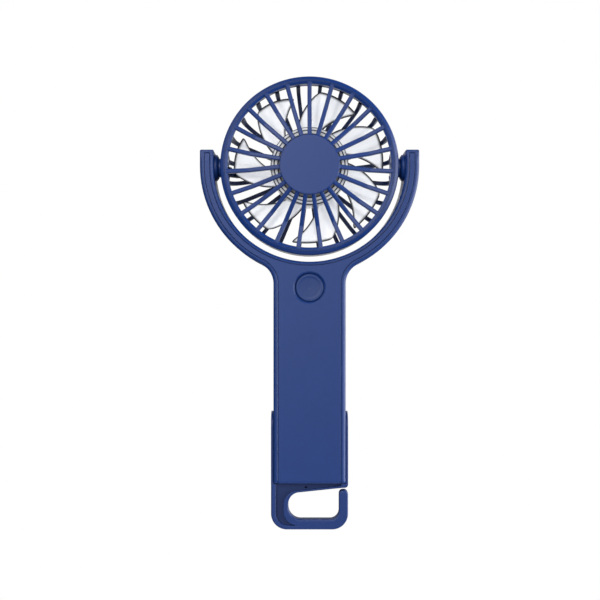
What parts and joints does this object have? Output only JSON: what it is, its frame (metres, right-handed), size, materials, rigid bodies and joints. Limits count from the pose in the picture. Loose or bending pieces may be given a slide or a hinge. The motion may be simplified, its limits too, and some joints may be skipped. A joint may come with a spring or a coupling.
{
  "type": "handheld electric fan",
  "caption": "Small rechargeable hand-held fan: caged head tilting in a U-shaped yoke, slim handle with a round button, and a hook bracket that swings back as a stand.",
  "frame": {"origin": "middle of the grip, on the handle's centre line and at half its depth, 100 mm below the head's tilt axis", "axes": "+Z along the handle towards the head, -Y the way the air is blown (front), +X to the right seen from the front"},
  "size_m": [0.1008, 0.0319, 0.2085],
  "materials": {
    "navy_plastic": "fine matte moulded texture",
    "clear_plastic": "clear moulded plastic",
    "steel": "plated",
    "brass": "turned",
    "copper": "enamelled copper wire",
    "magnet": "bonded ferrite",
    "circuit_board": "solder mask",
    "black_plastic": "moulded",
    "cell_wrap": "foil pouch",
    "foam": "closed-cell foam",
    "lead_insulation": "soft black insulation",
    "led_lens": "diffusing lens"
  },
  "bodies": {
    "handle": {"rear_shell": "navy_plastic", "front_cover": "navy_plastic", "shell_screws": "steel", "pivot_bushes": "navy_plastic", "battery": "cell_wrap", "battery_pad": "foam", "battery_leads": "lead_insulation", "main_board": "circuit_board", "board_chips": "black_plastic", "tact_switch": "black_plastic", "usb_c_socket": "steel", "charge_led": "led_lens", "motor_lead_yoke": "lead_insulation", "stand_pins": "steel"},
    "button": {"power_button": "navy_plastic", "switch_plunger": "black_plastic"},
    "head": {"front_grille": "navy_plastic", "head_ring": "navy_plastic", "rear_cage": "navy_plastic", "rear_grille": "navy_plastic", "trunnion_left": "navy_plastic", "trunnion_right": "navy_plastic", "trunnion_clips": "steel", "bearing_tube": "brass", "bearing_front": "steel", "bearing_rear": "steel", "stator_core": "steel", "stator_coils": "copper", "motor_board": "circuit_board", "motor_lead_head": "lead_insulation"},
    "impeller": {"impeller": "clear_plastic", "rotor_cup": "steel", "ring_magnet": "magnet", "motor_shaft": "steel", "shaft_clip": "steel"},
    "stand": {"hook_bracket": "navy_plastic"}
  },
  "joints": [
    {"name": "head_tilt", "type": "hinge", "parent": "handle", "child": "head", "pos_m": [0, 0, 0.1], "axis": [1, 0, 0], "range_deg": [-90, 90]},
    {"name": "impeller_spin", "type": "hinge", "parent": "head", "child": "impeller", "pos_m": [0, 0, 0.1], "axis": [0, -1, 0], "continuous": true},
    {"name": "power_button_press", "type": "slide", "parent": "handle", "child": "button", "axis": [0, 1, 0], "range_m": [0, 0.0005], "stiffness_N_per_m": 400, "springref_m": -0.001},
    {"name": "stand_hinge", "type": "hinge", "parent": "handle", "child": "stand", "pos_m": [0, 0, -0.02], "axis": [1, 0, 0], "range_deg": [0, 110]}
  ]
}
